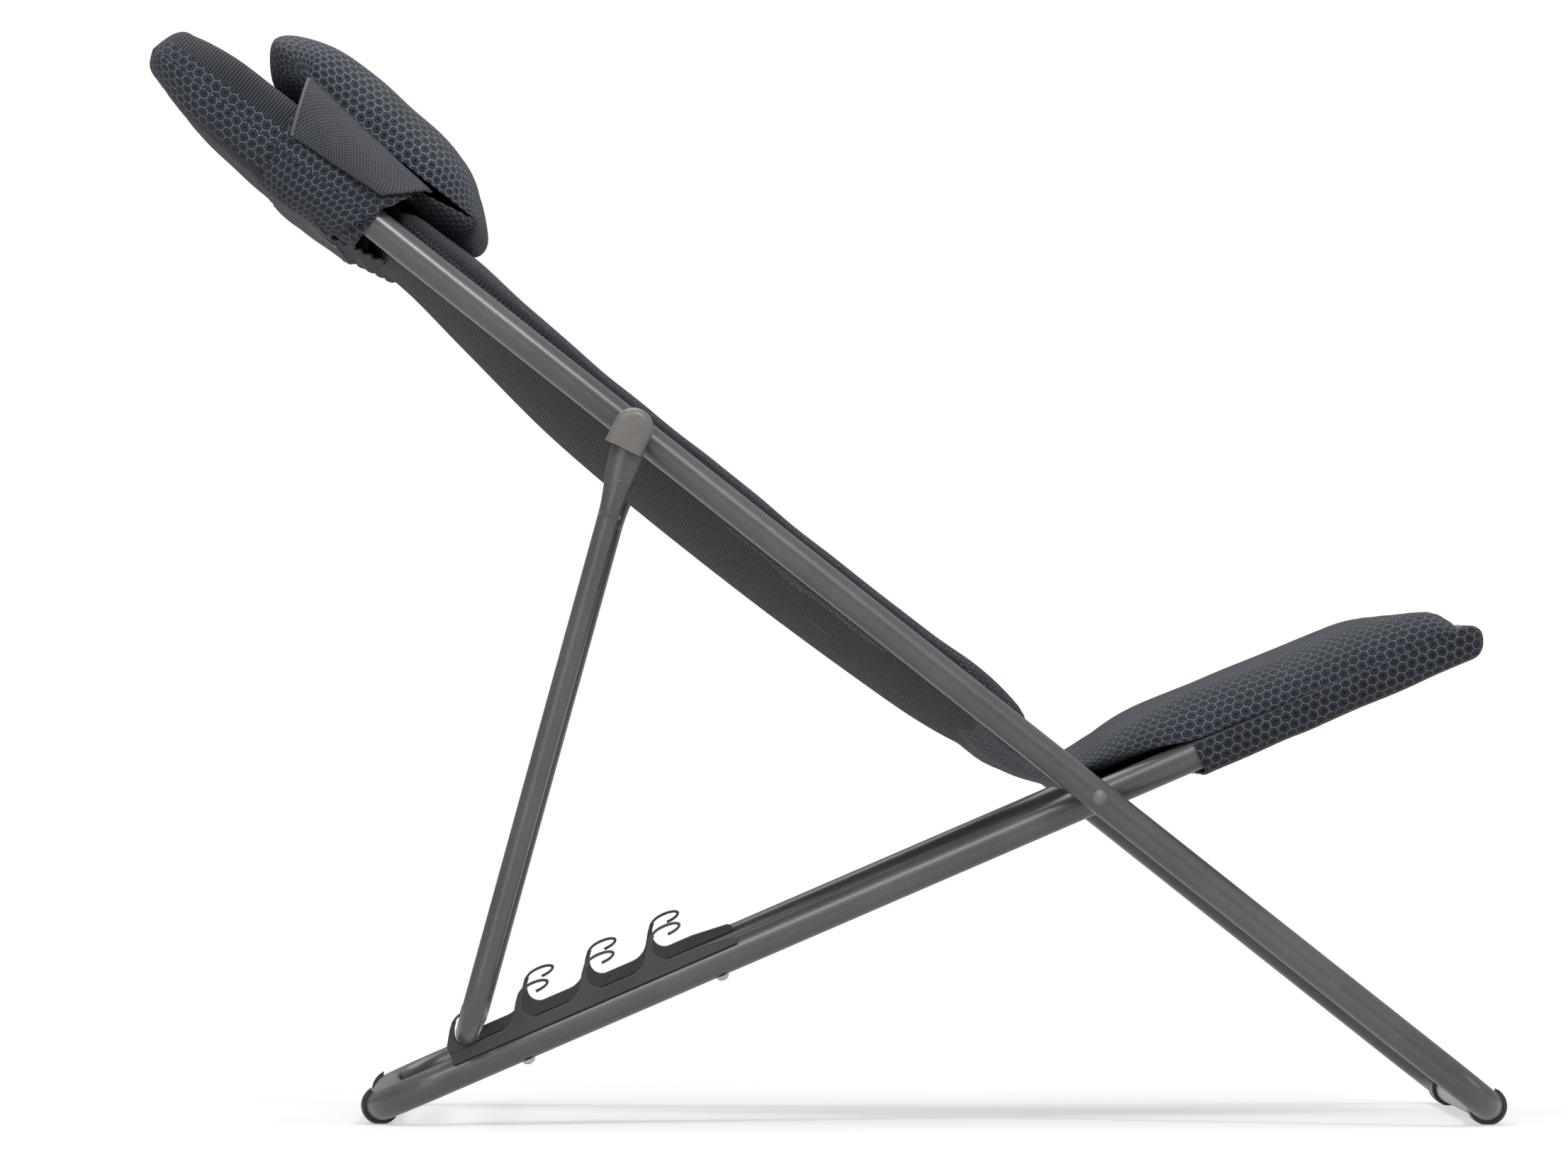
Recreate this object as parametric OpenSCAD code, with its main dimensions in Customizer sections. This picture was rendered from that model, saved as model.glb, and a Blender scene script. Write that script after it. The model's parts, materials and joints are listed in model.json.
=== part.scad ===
// Padded folding lounge chair.
// Two tube frames cross on a pair of rivets. A hinged prop stands in notched racks on the seat rails.
// A padded sling hangs between the top bar and the seat's front bar, and a head pillow slides on it.
// Millimetres, +Z up. The sitter faces -Y. The origin is on the floor, in the middle of the footprint.

/* [Frame tubes] */
// Outer diameter of the frame tubes
tube_d = 25; // [22:0.5:26]
// Wall thickness of all tubes
tube_wall = 1.5; // [1:0.1:2.5]
// Distance between the centre lines of the back tubes
back_w = 580; // [570:1:590]
// Distance between the centre lines of the seat rails
rail_w = 514; // [508:1:518]
// Height of the pivot above the axes of the floor bars
pivot_h = 249.5; // [240:0.5:260]
// Length from the pivot to the front floor bar
leg_len = 402; // [390:1:420]
// Length from the pivot to the top bar
back_len = 935; // [900:5:980]
// Length from the pivot to the rear floor bar
rail_len = 629.5; // [615:0.5:650]
// Length from the pivot to the seat's front bar
seat_len = 318; // [300:1:330]
// Bend radius of the floor bars' corners
floor_bend_r = 50; // [40:1:70]
// Bend radius of the top bar's corners
top_bend_r = 60; // [45:1:80]
// Bend radius of the seat front bar's corners
seat_bend_r = 40; // [30:1:60]

/* [Prop] */
// Outer diameter of the prop tube
prop_d = 18; // [16:0.5:20]
// Distance between the centre lines of the prop's legs
prop_w = 634; // [630:1:650]
// Bend radius of the prop's bottom corners
prop_bend_r = 40; // [30:1:50]
// Length from the pivot to the prop's hinge, along the back tube
hinge_at = 476; // [460:1:490]
// Outer radius of the hinge cap
cap_r = 16; // [14:0.5:18]

/* [Notched racks] */
// Length from the pivot to the rearmost notch, along the rail
notch_at = 540.4; // [535:0.1:545]
// Height of the notch centres above the rail's axis
notch_rise = 26.9; // [26.5:0.1:28]
// Distance between notches
notch_pitch = 57.7; // [54:0.1:60]
// Number of notches
notch_count = 4; // [2:1:4]
// Radius of a notch
notch_r = 10.2; // [9.8:0.1:11]
// Thickness of the curled fingers
finger_t = 2.4; // [1.8:0.1:3]

/* [Feet and fasteners] */
// Thickness of the foot clips
clip_t = 3; // [2:0.1:4]
// Diameter of the pivot rivets
rivet_d = 8; // [6:0.5:10]
// Diameter of the hinge pins
pin_d = 6; // [5:0.5:8]
// Diameter of the rack screws
screw_d = 4; // [3:0.5:5]

/* [Soft parts] */
// Width of the back pad and the slings
sling_w = 482; // [470:1:484]
// Thickness of the slings
sling_t = 3; // [2:0.5:4]
// Deepest sag of the back sling below the tube axis
sag = 48; // [40:1:52]
// Width of the seat pad
seat_w = 544; // [530:1:546]
// Width of the hood over the top bar
hood_w = 609; // [606:1:609]
// Length from the pivot to the hood's lower edge
hood_from = 742; // [730:1:760]
// Length from the pivot to the hood's top end
hood_to = 964; // [950:1:990]
// Width of the head pillow
pillow_w = 470; // [400:5:520]

/* [Hidden] */
$fn = 64;
left = 1;
right = -1;

// Colours
frame_grey = [0.36, 0.35, 0.34];
plastic_grey = [0.30, 0.29, 0.29];
cap_grey = [0.42, 0.40, 0.38];
steel = [0.62, 0.62, 0.62];
pad_blue = [0.20, 0.23, 0.27];
mesh_black = [0.12, 0.12, 0.13];

// Angles of the two frames above the floor, and the pivot's place
back_tilt = asin(pivot_h / leg_len);
rail_tilt = asin(pivot_h / rail_len);
foot_sole = 0.6;
pivot_z = clip_t - foot_sole + tube_d / 2 + pivot_h;
hood_end_y = hood_to * cos(back_tilt) + 8;
front_end_y = leg_len * cos(back_tilt) + tube_d / 2 + clip_t;
pivot_y = (front_end_y - hood_end_y) / 2;

// The prop runs from its hinge on the back to its bar in the rearmost notch
hinge_y = pivot_y + hinge_at * cos(back_tilt);
hinge_z = pivot_z + hinge_at * sin(back_tilt);
notch_y = pivot_y + notch_at * cos(rail_tilt) + notch_rise * sin(rail_tilt);
notch_z = pivot_z - notch_at * sin(rail_tilt) + notch_rise * cos(rail_tilt);
prop_len = norm([notch_y - hinge_y, notch_z - hinge_z]);
prop_lean = atan2(notch_y - hinge_y, hinge_z - notch_z);

// Faces of the tubes, measured from the middle of the chair
back_out = back_w / 2 + tube_d / 2;
back_in = back_w / 2 - tube_d / 2;
rail_out = rail_w / 2 + tube_d / 2;
rail_in = rail_w / 2 - tube_d / 2;
prop_in = prop_w / 2 - prop_d / 2;
prop_out = prop_w / 2 + prop_d / 2;

// Clearances: between parts that turn, round a pin, and between cloth and tube
gap = 0.3;
pin_gap = 0.1;
cloth_gap = 0.6;

// Racks
rack_w = tube_d;
rack_from = 312;
rack_to = 560;
rack_low = 7.5;
rack_floor = notch_rise - notch_r;
screw_at = [333.8, 503.4];
screw_deep = 15;

// Flattened top of a prop leg
plate_t = 6;
plate_w = 20;
plate_x = prop_in + 4.2;
flare_len = 45;
cap_wall = 2.5;
cap_skirt = 17;
cap_turn = 11;
cap_out = prop_out + 4;

// Soft parts, as lengths from the pivot
pad_from = 60;
pocket_from = 87;
sag_mid = 370;
sag_half = 345;
sag_lift = 33;
band_t = 2.5;
band_top = 33.6;
band_low = -33.6;
band_from = 744;
band_to = 834;

// ---------- frames of reference ----------

// Along the back: +Y towards the head, +Z towards the sitter, from the pivot
module in_back() translate([0, pivot_y, pivot_z]) rotate([back_tilt, 0, 0]) children();

// Along the seat rails: +Y towards the rear floor bar, +Z up, from the pivot
module in_rail() translate([0, pivot_y, pivot_z]) rotate([-rail_tilt, 0, 0]) children();

// Along the prop: -Z from its hinge to its bottom bar
module in_prop() translate([0, hinge_y, hinge_z]) rotate([prop_lean, 0, 0]) children();

// The shape is drawn at +X and mirrored for the other side
module on_side(side) mirror([side < 0 ? 1 : 0, 0, 0]) children();

// ---------- shared shapes ----------

module ring(d, bore) {
    difference() {
        circle(d = d);
        if (bore > 0) circle(d = bore);
    }
}

// Straight tube along +Y. A bore of 0 makes a rod.
module tube(len, d = tube_d, bore = tube_d - 2 * tube_wall) {
    rotate([-90, 0, 0]) linear_extrude(len) ring(d, bore);
}

// U-shaped end of a frame: a bar along X at Y = 0 with a quarter bend towards +Y at each end
module u_end(w, r, d = tube_d, bore = tube_d - 2 * tube_wall) {
    translate([r - w / 2, 0, 0]) rotate([0, 0, -90]) tube(w - 2 * r, d, bore);
    for (side = [left, right])
        on_side(side) translate([w / 2 - r, r, 0]) rotate([0, 0, -90])
            rotate_extrude(angle = 90) translate([r, 0]) ring(d, bore);
}

// Round bar along X, from x1 to x2
module bar_x(x1, x2, d) {
    translate([x1, 0, 0]) rotate([0, 90, 0]) cylinder(d = d, h = x2 - x1);
}

// Washer along X, from x1 to x2
module washer_x(x1, x2, d, bore) {
    translate([x1, 0, 0]) rotate([0, 90, 0]) linear_extrude(x2 - x1) ring(d, bore);
}

// Half outline of a low dome, d wide and h high, standing on the line y = base: from its tip to its rim
function dome(d, h, base = 0, steps = 10) =
    let (ball_r = (d * d / 4 + h * h) / (2 * h), span = acos(1 - h / ball_r))
    [for (i = [0:steps]) let (a = span * i / steps) [ball_r * sin(a), base + h - ball_r + ball_r * cos(a)]];

// The same outline from rim to tip, hanging below y = base
function dome_below(d, h, base = 0) =
    let (points = dome(d, h), last = len(points) - 1)
    [for (i = [0:last]) [points[last - i][0], base - points[last - i][1]]];

// Turned pin along X from x1 to x2, with a domed head beyond x2 and a domed tail before x1
module pin_x(x1, x2, d, head_d, head_h, tail_h) {
    rotate([90, 0, 90]) rotate_extrude() polygon(concat(
        dome(head_d, head_h, x2), [[d / 2, x2], [d / 2, x1]], dome_below(head_d, tail_h, x1)));
}

// Slab across the chair: the children are its side outline in Y and Z
module slab(w) {
    rotate([90, 0, 90]) linear_extrude(w, center = true) children();
}

// Points of an arc, as [x, y]
function arc(cx, cy, r, from, to, steps = 8) =
    [for (i = [0:steps]) let (a = from + (to - from) * i / steps) [cx + r * cos(a), cy + r * sin(a)]];

// ---------- back frame ----------

module back_tube(side) {
    dish_r = 24;
    dish_deep = 1;
    tube_len = leg_len + back_len - floor_bend_r - top_bend_r;
    color(frame_grey) in_back() on_side(side) difference() {
        translate([back_w / 2, floor_bend_r - leg_len, 0]) tube(tube_len);
        bar_x(back_in - 5, back_out + 5, rivet_d + pin_gap);
        translate([back_out + dish_r - dish_deep, 0, 0]) sphere(r = dish_r);
        translate([0, hinge_at, 0]) bar_x(back_in - 5, back_out + 5, pin_d + pin_gap);
    }
}

module front_floor_tube() {
    color(frame_grey) in_back() translate([0, -leg_len, 0]) u_end(back_w, floor_bend_r);
}

module top_tube() {
    color(frame_grey) in_back() translate([0, back_len, 0]) rotate([180, 0, 0]) u_end(back_w, top_bend_r);
}

module pivot_rivet(side) {
    color(steel) in_back() on_side(side) pin_x(rail_in - gap, back_out - 0.4, rivet_d, 12, 3.6, 2.6);
}

module pivot_spacer(side) {
    color(plastic_grey) in_back() on_side(side)
        washer_x(rail_out + gap, back_in - gap / 2, 20, rivet_d + 2 * pin_gap);
}

module hinge_pin(side) {
    color(steel) in_back() on_side(side) translate([0, hinge_at, 0])
        pin_x(back_in - gap, plate_x + plate_t + gap, pin_d, 11, 3, 3);
}

module hinge_spacer(side) {
    color(plastic_grey) in_back() on_side(side) translate([0, hinge_at, 0])
        washer_x(back_out + gap / 2, plate_x - gap, 15, pin_d + 2 * pin_gap);
}

// C-shaped clip round a floor bar's corner, open away from the floor, with a flat sole
module foot_clip(w, tilt) {
    straight = 32;
    sweep = 12;
    open_w = 15;
    clip_r = tube_d / 2 + clip_t;
    module clip_section() {
        difference() {
            circle(r = clip_r);
            circle(d = tube_d + gap);
            rotate(90 + tilt) translate([0, -open_w / 2]) square([tube_d, open_w]);
            rotate(tilt - 90) translate([clip_r - foot_sole, -clip_r]) square([clip_t, 2 * clip_r]);
        }
    }
    translate([w / 2 - floor_bend_r, floor_bend_r, 0]) rotate([0, 0, -90])
        rotate_extrude(angle = sweep) translate([floor_bend_r, 0]) clip_section();
    translate([w / 2 - floor_bend_r, 0, 0]) rotate([90, 0, -90]) linear_extrude(straight) clip_section();
}

module front_foot(side) {
    color(plastic_grey) in_back() on_side(side) translate([0, -leg_len, 0]) foot_clip(back_w, back_tilt);
}

// Padded hood over the top bar and the upper ends of the back tubes
module hood() {
    half_t = 32;
    nose_len = 85;
    bluntness = 0.55;
    nose = [
        for (i = [0:24]) let (a = -90 + 180 * i / 24, s = sin(a))
            [hood_to - nose_len * (1 - cos(a)), sign(s) * half_t * pow(abs(s), bluntness)]
    ];
    channel_d = tube_d + 2 * cloth_gap;
    color(pad_blue) in_back() difference() {
        slab(hood_w) polygon(concat([[hood_from, -half_t]], nose, [[hood_from, half_t]]));
        translate([0, back_len, 0]) rotate([180, 0, 0]) u_end(back_w, top_bend_r, channel_d, 0);
        for (x = [-back_w / 2, back_w / 2])
            translate([x, hood_from - 1, 0]) tube(back_len - top_bend_r - hood_from + 1, channel_d, 0);
    }
}

// Gathered elastic hem at the hood's lower rear edge
module hood_elastic() {
    hem_len = 20;
    color(mesh_black) in_back() slab(sling_w)
        polygon([[hood_from - hem_len, -31], [hood_from - hem_len, -25], [hood_from - gap, -25],
                 [hood_from - gap, -31]]);
}

// Height of the sling's underside at length y from the pivot
function sling_low(y) = sag_lift * pow(abs(y - sag_mid) / sag_half, 4) - sag;

module back_sling() {
    ends = [pad_from, hood_from - 24];
    steps = 24;
    ys = [for (i = [0:steps]) ends[0] + (ends[1] - ends[0]) * i / steps];
    low = [for (y = ys) [y, sling_low(y)]];
    high = [for (i = [steps:-1:0]) [ys[i], sling_low(ys[i]) + sling_t]];
    color(mesh_black) in_back() slab(sling_w) polygon(concat(low, high));
}

// Back pad, dished from side to side
module back_pad() {
    edge_high = 17;
    dish = 24;
    dish_r = (pow(sling_w / 2, 2) + dish * dish) / (2 * dish);
    ends = [pad_from, hood_from - 24];
    steps = 24;
    low = [
        for (i = [0:steps]) let (y = ends[0] + (ends[1] - ends[0]) * i / steps)
            [y, sling_low(y) + sling_t + gap]
    ];
    color(pad_blue) in_back() difference() {
        slab(sling_w) polygon(concat(low, [[hood_from - gap, -20], [hood_from - gap, edge_high],
                                           [pad_from, edge_high]]));
        translate([0, 0, dish_r + edge_high - dish]) rotate([-90, 0, 0])
            cylinder(r = dish_r, h = hood_from + 10, $fn = 720);
    }
}

// ---------- seat frame ----------

module seat_rail(side) {
    rail_from = seat_bend_r - seat_len;
    color(frame_grey) in_rail() on_side(side) difference() {
        translate([rail_w / 2, rail_from, 0]) tube(rail_len - floor_bend_r - rail_from);
        bar_x(rail_in - 5, rail_out + 5, rivet_d + pin_gap);
        for (y = screw_at)
            translate([rail_w / 2, y, -tube_d]) cylinder(d = screw_d + 2 * pin_gap, h = 2 * tube_d);
    }
}

module rear_floor_tube() {
    color(frame_grey) in_rail() translate([0, rail_len, 0]) rotate([180, 0, 0]) u_end(rail_w, floor_bend_r);
}

module seat_front_tube() {
    color(frame_grey) in_rail() translate([0, -seat_len, 0]) u_end(rail_w, seat_bend_r);
}

// Post and curled finger of a notch. The notch's centre is the origin, and the finger points to -Y.
module hook_outline() {
    fillet_r = 19.5;
    foot = fillet_r - notch_r;
    rear_edge = arc(34, foot, fillet_r, -90, -150, 8);
    pocket = arc(0, 0, notch_r, 30, -90, 14);
    polygon(concat(rear_edge, [[12.4, 7], [8, 12.6], [5, 14.5], [4.6, 11.6], [7.9, 7.6]], pocket,
                   [[0, -notch_r - 1], [34, -notch_r - 1]]));
    // finger: a strip along an open oval
    finger_steps = 30;
    oval = [
        for (i = [0:finger_steps]) let (a = 12 + 258 * i / finger_steps)
            [-6.2 + 12.6 * cos(a), 12.3 + 4.6 * sin(a)]
    ];
    inner = [
        for (i = [finger_steps:-1:0]) let (a = 12 + 258 * i / finger_steps)
            [-6.2 + (12.6 - finger_t) * cos(a), 12.3 + (4.6 - finger_t * 0.8) * sin(a)]
    ];
    polygon(concat(oval, inner));
}

// Base of a rack: a saddle on the rail's top, tapered at its front end
module rack_base() {
    nose_top = 12.6;
    taper = 34;
    slab(rack_w) polygon([
        [rack_from + 1, rack_low], [rack_to, rack_low], [rack_to, rack_floor], [rack_from + taper, rack_floor],
        [rack_from + 3, nose_top + 1], [rack_from, nose_top - 1], [rack_from, rack_low + 1]
    ]);
}

module rack_cuts() {
    translate([0, rack_from - 5, 0]) tube(rack_to - rack_from + 40, tube_d + gap, 0);
    for (y = screw_at) translate([0, y, 0]) cylinder(d = screw_d + 2 * pin_gap, h = screw_deep);
}

module notch_rack(side) {
    color(plastic_grey) in_rail() on_side(side) translate([rail_w / 2, 0, 0]) difference() {
        union() {
            rack_base();
            for (n = [1:notch_count - 1])
                translate([0, notch_at - n * notch_pitch, notch_rise]) slab(rack_w) hook_outline();
        }
        rack_cuts();
    }
}

// The rearmost hook, which springs aside to let the prop's bar out
module snap_hook(side) {
    color(plastic_grey) in_rail() on_side(side)
        translate([rail_w / 2, notch_at, notch_rise]) slab(rack_w) difference() {
            hook_outline();
            translate([-20, -notch_r - 5]) square([80, 5 + gap]);
            translate([19.5, -notch_r - 5]) square([40, 60]);
        }
}

// Four dome-headed screws that hold the racks down, from below
module rack_screws() {
    head_low = -tube_d / 2 - gap;
    outline = concat(dome_below(11, 3.6, head_low), [[0, screw_deep - 1], [screw_d / 2, screw_deep - 1],
                                                     [screw_d / 2, head_low]]);
    for (side = [left, right])
        for (y = screw_at)
            color(steel) in_rail() on_side(side) translate([rail_w / 2, y, 0]) rotate_extrude() polygon(outline);
}

module rear_foot(side) {
    color(plastic_grey) in_rail() on_side(side) translate([0, rail_len, 0]) mirror([0, 1, 0])
        foot_clip(rail_w, rail_tilt);
}

// Room for the rails and the front bar inside the seat's cover
module seat_channel() {
    channel_d = tube_d + 2 * cloth_gap;
    translate([0, -seat_len, 0]) u_end(rail_w, seat_bend_r, channel_d, 0);
    for (x = [-rail_w / 2, rail_w / 2])
        translate([x, seat_bend_r - seat_len, 0]) tube(seat_len - seat_bend_r, channel_d, 0);
}

module seat_pad() {
    under = tube_d / 2 + 2.5;
    color(pad_blue) in_rail() difference() {
        slab(seat_w) polygon([
            [2, under], [2, 43], [-10, 46], [-34, 52], [-85, 54], [-145, 53], [-190, 50.5], [-240, 46],
            [-270, 40], [-290, 33], [-309, 22], [-325, 15], [-334, 9], [-336, 3], [-336, gap],
            [-pocket_from, gap], [-pocket_from, under]
        ]);
        seat_channel();
    }
}

// Pocket that holds the pad to the front bar, under the rails
module seat_pocket() {
    color(pad_blue) in_rail() difference() {
        slab(seat_w) polygon([
            [-pocket_from, 0], [-336, 0], [-333, -6], [-325, -14], [-315, -17], [-290, -18.5],
            [-pocket_from, -17.5]
        ]);
        seat_channel();
    }
}

module seat_sling() {
    sling_top = tube_d / 2 + 1;
    color(mesh_black) in_rail() slab(sling_w) polygon([
        [-8, sling_top - sling_t], [-8, sling_top], [-pocket_from + gap, sling_top],
        [-pocket_from + gap, sling_top - sling_t]
    ]);
}

// ---------- prop ----------

// A leg: round tube, flattened at its top round the hinge pin
module prop_leg(side) {
    tube_len = prop_len - prop_bend_r - flare_len;
    color(frame_grey) in_prop() on_side(side) difference() {
        union() {
            translate([prop_w / 2, 0, -flare_len]) rotate([-90, 0, 0])
                tube(tube_len, prop_d, prop_d - 2 * tube_wall);
            hull() {
                translate([prop_w / 2, 0, -flare_len]) cylinder(d = prop_d, h = 0.5, $fn = 32);
                translate([plate_x, -plate_w / 2, -20]) cube([plate_t, plate_w, 1]);
            }
            translate([plate_x, -plate_w / 2, -20]) cube([plate_t, plate_w, 20]);
            bar_x(plate_x, plate_x + plate_t, plate_w);
        }
        bar_x(plate_x - 1, plate_x + plate_t + 1, pin_d + pin_gap);
    }
}

module prop_cross_tube() {
    color(frame_grey) in_prop() translate([0, 0, -prop_len]) rotate([90, 0, 0])
        u_end(prop_w, prop_bend_r, prop_d, prop_d - 2 * tube_wall);
}

// Moulded cover over the hinge and the flattened end of the leg
module prop_cap(side) {
    edge = 4;
    module cover(r, out) {
        bar_x(prop_in + gap, out - edge, 2 * r);
        translate([prop_in + gap, -r, -cap_skirt]) cube([out - edge - prop_in - gap, 2 * r, cap_skirt]);
        hull() {
            bar_x(out - edge, out - edge + 0.1, 2 * r, $fn = 48);
            bar_x(out - edge / 3, out - edge / 3 + 0.1, 2 * (r - edge / 3), $fn = 48);
            bar_x(out - 0.1, out, 2 * (r - edge), $fn = 48);
            translate([out - edge, -r, -cap_skirt]) cube([0.1, 2 * r, 1]);
            translate([out - 0.1, edge - r, -cap_skirt]) cube([0.1, 2 * (r - edge), 1]);
        }
    }
    color(cap_grey) in_prop() on_side(side) rotate([cap_turn, 0, 0]) difference() {
        cover(cap_r, cap_out);
        bar_x(prop_in, cap_out - cap_wall, 2 * (cap_r - cap_wall));
        translate([prop_in, cap_wall - cap_r, -cap_skirt - 1])
            cube([cap_out - cap_wall - prop_in, 2 * (cap_r - cap_wall), cap_skirt + 1]);
    }
}

// ---------- headrest ----------

// D-shaped pillow across the chair
module headrest_pillow() {
    color(pad_blue) in_back() slab(pillow_w) polygon([
        [879, 37], [896, 66], [880, 79], [853, 91], [820, 97], [771, 97], [727, 89], [693, 76], [672, 60],
        [665, 49], [667, 38], [688, 37]
    ]);
}

// Sloping side panel between the pillow's end and the band
module headrest_wing(side) {
    wing_t = 2;
    band_x = hood_w / 2 + cloth_gap;
    color(pad_blue) in_back() on_side(side) hull() {
        translate([band_x - wing_t, 752, band_top + band_t + gap]) cube([wing_t, 82, 0.5]);
        translate([pillow_w / 2 + gap, 724, 53]) cube([wing_t, 130, 0.5]);
    }
}

// Sleeve round the hood that holds the pillow and slides on the back
module headrest_band() {
    band_w = hood_w + 2 * gap;
    color(pad_blue) in_back() difference() {
        translate([-band_w / 2 - band_t, band_from, band_low - band_t])
            cube([band_w + 2 * band_t, band_to - band_from, band_top - band_low + 2 * band_t]);
        translate([-band_w / 2, band_from - 1, band_low])
            cube([band_w, band_to - band_from + 2, band_top - band_low]);
    }
}

// Elastic strap across the back of the sleeve
module headrest_strap() {
    strap_half = 230;
    color(mesh_black) in_back()
        translate([-strap_half, 762, band_low - band_t - gap - 2]) cube([2 * strap_half, 38, 2]);
}

// Slide buckle on the strap
module strap_buckle() {
    color(plastic_grey) in_back() translate([-190, 757, band_low - band_t - gap - 2]) difference() {
        translate([0, 0, -4]) cube([34, 48, 3.7]);
        for (x = [5, 20]) translate([x, 4, -5]) cube([9, 40, 6]);
    }
}

back_tube(left);  // back_tube_left
back_tube(right);  // back_tube_right
front_floor_tube();
top_tube();
pivot_rivet(left);  // pivot_rivet_left
pivot_rivet(right);  // pivot_rivet_right
pivot_spacer(left);  // pivot_spacer_left
pivot_spacer(right);  // pivot_spacer_right
hinge_pin(left);  // hinge_pin_left
hinge_pin(right);  // hinge_pin_right
hinge_spacer(left);  // hinge_spacer_left
hinge_spacer(right);  // hinge_spacer_right
front_foot(left);  // front_foot_left
front_foot(right);  // front_foot_right
hood();
hood_elastic();
back_pad();
back_sling();
seat_rail(left);  // seat_rail_left
seat_rail(right);  // seat_rail_right
rear_floor_tube();
seat_front_tube();
notch_rack(left);  // notch_rack_left
notch_rack(right);  // notch_rack_right
snap_hook(left);  // snap_hook_left
snap_hook(right);  // snap_hook_right
rack_screws();
rear_foot(left);  // rear_foot_left
rear_foot(right);  // rear_foot_right
seat_pad();
seat_pocket();
seat_sling();
prop_leg(left);  // prop_leg_left
prop_leg(right);  // prop_leg_right
prop_cross_tube();
prop_cap(left);  // prop_cap_left
prop_cap(right);  // prop_cap_right
headrest_pillow();
headrest_wing(left);  // headrest_wing_left
headrest_wing(right);  // headrest_wing_right
headrest_band();
headrest_strap();
strap_buckle();
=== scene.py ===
import json
import math

import bmesh
import bpy
from mathutils import Matrix, Vector, noise

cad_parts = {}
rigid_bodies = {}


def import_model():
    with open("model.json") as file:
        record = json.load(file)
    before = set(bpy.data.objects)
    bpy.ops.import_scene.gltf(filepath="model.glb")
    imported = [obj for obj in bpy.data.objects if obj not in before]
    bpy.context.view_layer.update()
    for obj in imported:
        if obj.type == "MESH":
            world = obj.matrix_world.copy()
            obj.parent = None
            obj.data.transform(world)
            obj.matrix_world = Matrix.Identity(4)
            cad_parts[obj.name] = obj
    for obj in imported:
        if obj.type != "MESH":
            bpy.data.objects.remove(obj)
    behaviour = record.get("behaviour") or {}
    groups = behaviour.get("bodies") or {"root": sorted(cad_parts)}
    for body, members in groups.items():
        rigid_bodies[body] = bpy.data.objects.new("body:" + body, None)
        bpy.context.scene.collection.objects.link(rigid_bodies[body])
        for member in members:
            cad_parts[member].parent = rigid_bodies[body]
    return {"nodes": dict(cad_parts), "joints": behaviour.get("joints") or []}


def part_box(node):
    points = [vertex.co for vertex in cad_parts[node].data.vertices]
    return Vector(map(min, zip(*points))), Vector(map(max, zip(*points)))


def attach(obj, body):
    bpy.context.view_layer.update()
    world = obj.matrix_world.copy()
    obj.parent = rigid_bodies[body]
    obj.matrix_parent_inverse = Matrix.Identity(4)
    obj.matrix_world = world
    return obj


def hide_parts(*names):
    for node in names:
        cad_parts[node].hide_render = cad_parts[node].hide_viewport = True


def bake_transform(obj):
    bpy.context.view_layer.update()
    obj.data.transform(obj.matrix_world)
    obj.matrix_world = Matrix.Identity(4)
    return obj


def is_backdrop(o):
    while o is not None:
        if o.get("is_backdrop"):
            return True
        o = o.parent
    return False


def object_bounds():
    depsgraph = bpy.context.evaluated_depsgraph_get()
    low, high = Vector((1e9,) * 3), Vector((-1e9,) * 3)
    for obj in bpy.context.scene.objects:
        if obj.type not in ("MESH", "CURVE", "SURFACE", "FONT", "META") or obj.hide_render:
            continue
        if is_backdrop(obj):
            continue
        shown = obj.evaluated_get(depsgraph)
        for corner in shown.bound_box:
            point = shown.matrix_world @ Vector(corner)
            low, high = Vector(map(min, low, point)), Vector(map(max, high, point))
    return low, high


for old in list(bpy.data.objects):
    bpy.data.objects.remove(old)

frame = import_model()
cadBox = [list(corner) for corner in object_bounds()]
nodes = frame["nodes"]
mm = 0.001

# directions along the back and along the seat rails, both measured from the pivot
joints = {j["name"]: j for j in frame["joints"]}
pivot = Vector(joints["frame_fold"]["pos_m"])
hinge = Vector(joints["prop_swing"]["pos_m"])
backAngle = math.atan2(hinge.z - pivot.z, hinge.y - pivot.y)
railLow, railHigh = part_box("seat_rail_left")
tubeRadius = (railHigh.x - railLow.x) / 2
rearLow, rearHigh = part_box("rear_floor_tube")
rearBar = Vector((0, rearHigh.y - tubeRadius, rearLow.z + tubeRadius))
railAngle = math.atan2(pivot.z - rearBar.z, rearBar.y - pivot.y)


def onBack(x, along, up):
    # a place on the back, in mm from the pivot: along toward the head, up toward the sitter
    c, s = math.cos(backAngle), math.sin(backAngle)
    return Vector((x * mm, pivot.y + (along * c - up * s) * mm, pivot.z + (along * s + up * c) * mm))


def onSeat(x, along, up):
    # a place on the seat, in mm from the pivot: along toward the front, up toward the sitter
    c, s = math.cos(railAngle), math.sin(railAngle)
    return Vector((x * mm, pivot.y + (up * s - along * c) * mm, pivot.z + (along * s + up * c) * mm))


def smoothAt(table, x):
    # a smooth curve through the table's (position, value) pairs
    if x <= table[0][0]:
        return table[0][1]
    for i in range(len(table) - 1):
        (x0, y0), (x1, y1) = table[i], table[i + 1]
        if x <= x1:
            before, after = table[max(i - 1, 0)], table[min(i + 2, len(table) - 1)]
            m0 = (y1 - before[1]) / (x1 - before[0])
            m1 = (after[1] - y0) / (after[0] - x0)
            t, w = (x - x0) / (x1 - x0), x1 - x0
            return ((2 * t**3 - 3 * t**2 + 1) * y0 + (t**3 - 2 * t**2 + t) * w * m0
                    + (3 * t**2 - 2 * t**3) * y1 + (t**3 - t**2) * w * m1)
    return table[-1][1]


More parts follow.
